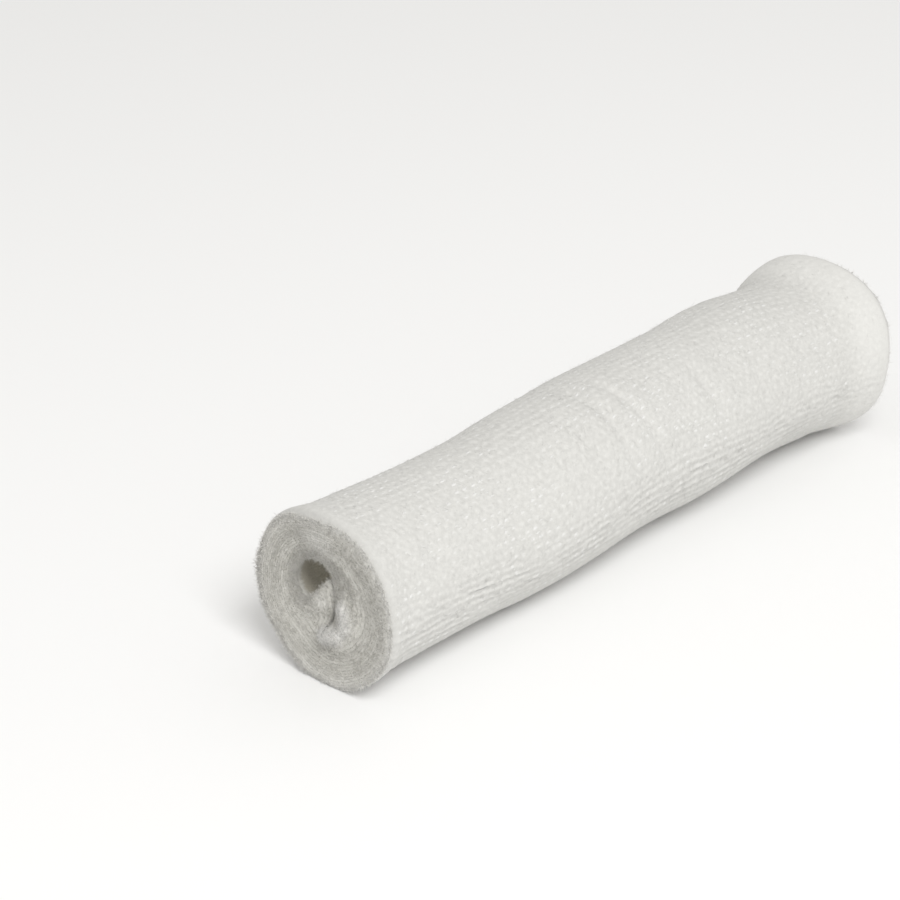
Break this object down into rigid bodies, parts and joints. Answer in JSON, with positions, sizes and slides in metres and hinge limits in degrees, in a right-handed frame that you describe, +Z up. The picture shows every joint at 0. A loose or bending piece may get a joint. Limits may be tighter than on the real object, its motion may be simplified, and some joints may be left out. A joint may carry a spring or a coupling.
{
  "type": "gauze bandage roll",
  "caption": "Wide stretch-gauze bandage wound without a core into an uneven soft roll with rounded rims, one flared end and a crumpled hollow in the middle of each end.",
  "frame": {"origin": "on the resting surface, under the middle of the roll's box", "axes": "+X along the roll from its neat end to its flared end, +Z up, +Y across the roll"},
  "size_m": [0.152, 0.0395, 0.0384],
  "materials": {
    "gauze": "soft, matt, bleached white stretch gauze with brighter knit stitches and fuzzy cut edges"
  },
  "bodies": {
    "root": {"bandage_roll": "gauze"}
  },
  "joints": []
}
